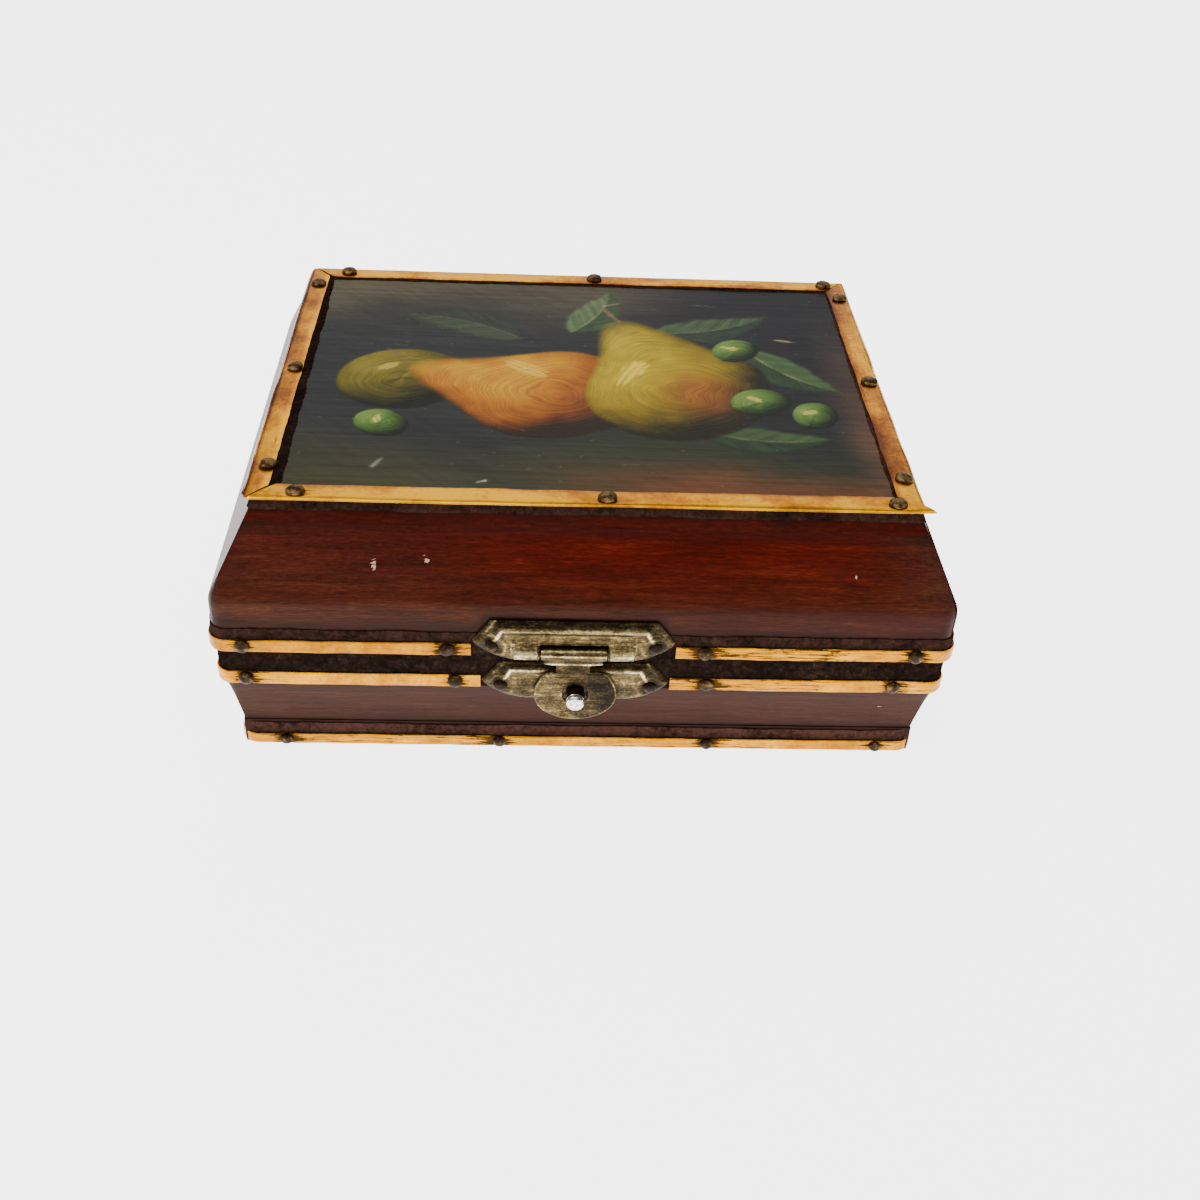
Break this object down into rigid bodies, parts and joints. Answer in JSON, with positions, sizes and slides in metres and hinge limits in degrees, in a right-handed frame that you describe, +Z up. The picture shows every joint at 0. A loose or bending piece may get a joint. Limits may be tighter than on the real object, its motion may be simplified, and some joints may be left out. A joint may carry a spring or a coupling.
{
  "type": "trinket box",
  "caption": "Small hinged wooden trinket box with a sloping hipped lid, nailed brass straps, a painted panel and a front hasp.",
  "frame": {"origin": "on the table under the middle of the box, on the flat underside", "axes": "+Z up, the latch and front face -Y, the hinges are on +Y, +X along the length of the box"},
  "size_m": [0.1486, 0.1259, 0.0584],
  "materials": {
    "lacquered_wood": "dark red-brown mahogany lacquer with fine grain, chips and worn edges",
    "floor_wood": "plain stained thin board",
    "felt": "dark red felt",
    "painted_panel": "oil paint on board, dark green-brown ground with fruit in yellow, orange and green",
    "binding_tape": "dark brown leathery tape with ragged edges",
    "brass_strap": "golden brass with patina and worn dark scratches",
    "dark_nails": "dark bronzed domed nails",
    "latch_bronze": "antique dark bronze with bright worn ridges",
    "nickel_pin": "nickelled rounded end, browned shank",
    "hinge_metal": "antique bronze, worn at the knuckles"
  },
  "bodies": {
    "base": {"base_back_board": "lacquered_wood", "base_floor_lining": "felt", "base_floor_panel": "floor_wood", "base_foot_nails": "dark_nails", "base_foot_strap": "brass_strap", "base_foot_tape": "binding_tape", "base_front_board": "lacquered_wood", "base_left_board": "lacquered_wood", "base_right_board": "lacquered_wood", "base_rim_nails": "dark_nails", "base_rim_strap_back": "brass_strap", "base_rim_strap_left": "brass_strap", "base_rim_strap_right": "brass_strap", "base_rim_tape": "binding_tape", "hinge_base_leaf_nails": "dark_nails", "latch_catch_pin": "nickel_pin", "latch_catch_plate": "latch_bronze", "latch_catch_plate_nails": "dark_nails", "left_hinge_base_leaf": "hinge_metal", "left_hinge_pin": "hinge_metal", "right_hinge_base_leaf": "hinge_metal", "right_hinge_pin": "hinge_metal"},
    "lid": {"hinge_lid_leaf_nails": "dark_nails", "latch_hasp_plate": "latch_bronze", "latch_hasp_plate_nails": "dark_nails", "latch_hinge_wire": "latch_bronze", "left_hinge_lid_leaf": "hinge_metal", "lid_back_board": "lacquered_wood", "lid_front_board": "lacquered_wood", "lid_left_board": "lacquered_wood", "lid_picture_panel": "painted_panel", "lid_right_board": "lacquered_wood", "lid_rim_nails": "dark_nails", "lid_rim_strap_back": "brass_strap", "lid_rim_strap_left": "brass_strap", "lid_rim_strap_right": "brass_strap", "lid_rim_tape": "binding_tape", "lid_top_board": "lacquered_wood", "lid_top_nails": "dark_nails", "lid_top_strap_back": "brass_strap", "lid_top_strap_front": "brass_strap", "lid_top_strap_left": "brass_strap", "lid_top_strap_right": "brass_strap", "lid_top_tape": "binding_tape", "right_hinge_lid_leaf": "hinge_metal"},
    "hasp": {"latch_hasp": "latch_bronze"}
  },
  "joints": [
    {"name": "lid_hinge", "type": "hinge", "parent": "base", "child": "lid", "pos_m": [0, 0.061, 0.027], "axis": [-1, 0, 0], "range_deg": [0, 110]},
    {"name": "hasp_hinge", "type": "hinge", "parent": "lid", "child": "hasp", "pos_m": [-0.0024, -0.06106, 0.0292], "axis": [-1, 0, 0], "range_deg": [0, 170]}
  ]
}
